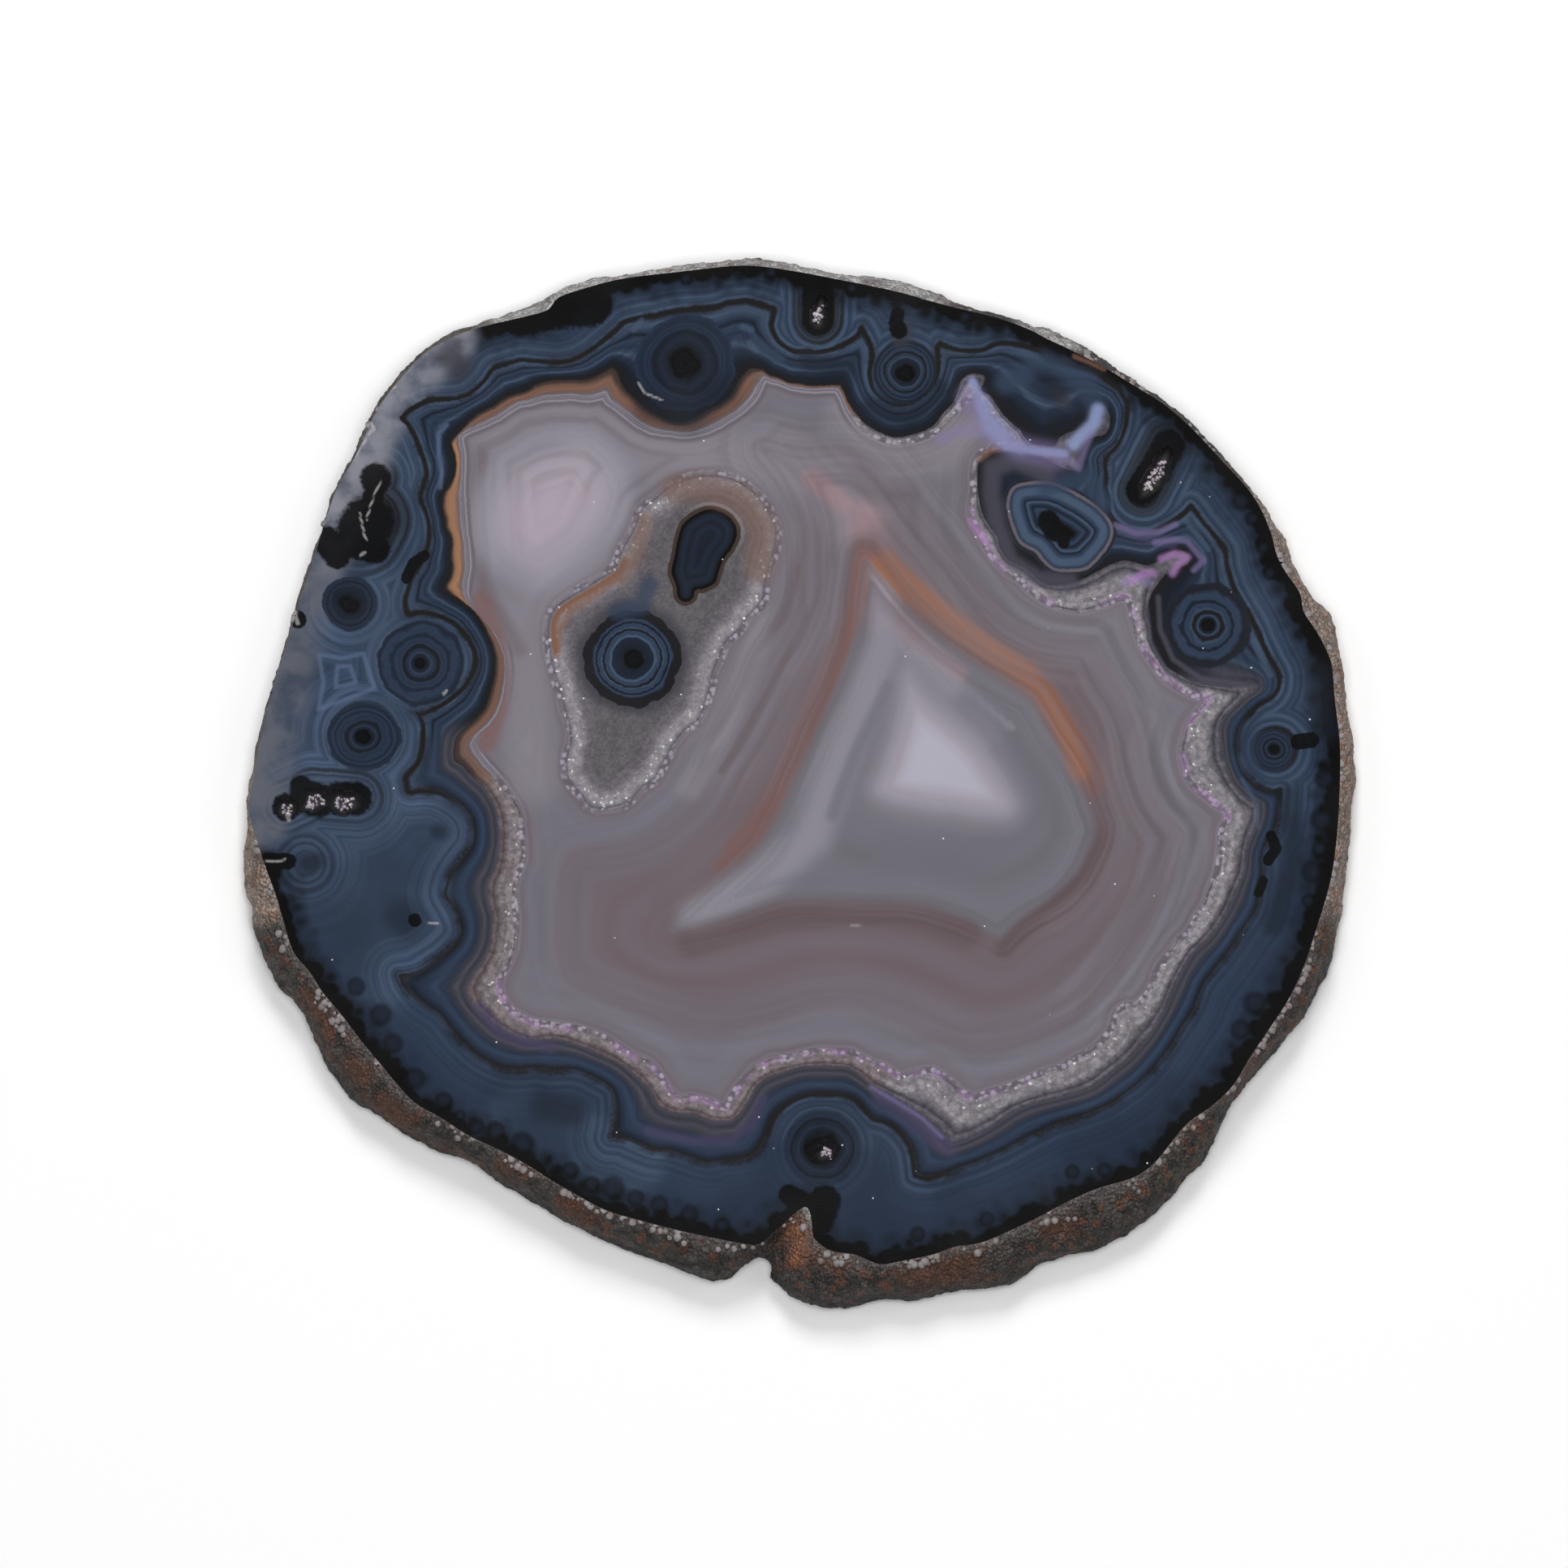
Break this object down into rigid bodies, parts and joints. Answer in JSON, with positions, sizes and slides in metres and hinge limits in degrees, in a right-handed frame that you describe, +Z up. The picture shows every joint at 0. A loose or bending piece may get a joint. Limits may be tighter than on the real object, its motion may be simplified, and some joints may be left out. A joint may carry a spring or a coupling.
{
  "type": "agate slice",
  "caption": "Sawn slab of banded agate nodule, 8 mm thick, with a polished face, small crystal-lined vugs and a rough skin round its rim.",
  "frame": {"origin": "middle of the flat underside, under the middle of the slab's box", "axes": "+X across the slab along its longest side, +Y towards the far rim, +Z up out of the polished face; the wide rough rim and its notch face -Y"},
  "size_m": [0.1373, 0.1324, 0.008],
  "materials": {
    "polished_agate": "gloss"
  },
  "bodies": {
    "root": {"agate_slice": "polished_agate"}
  },
  "joints": []
}
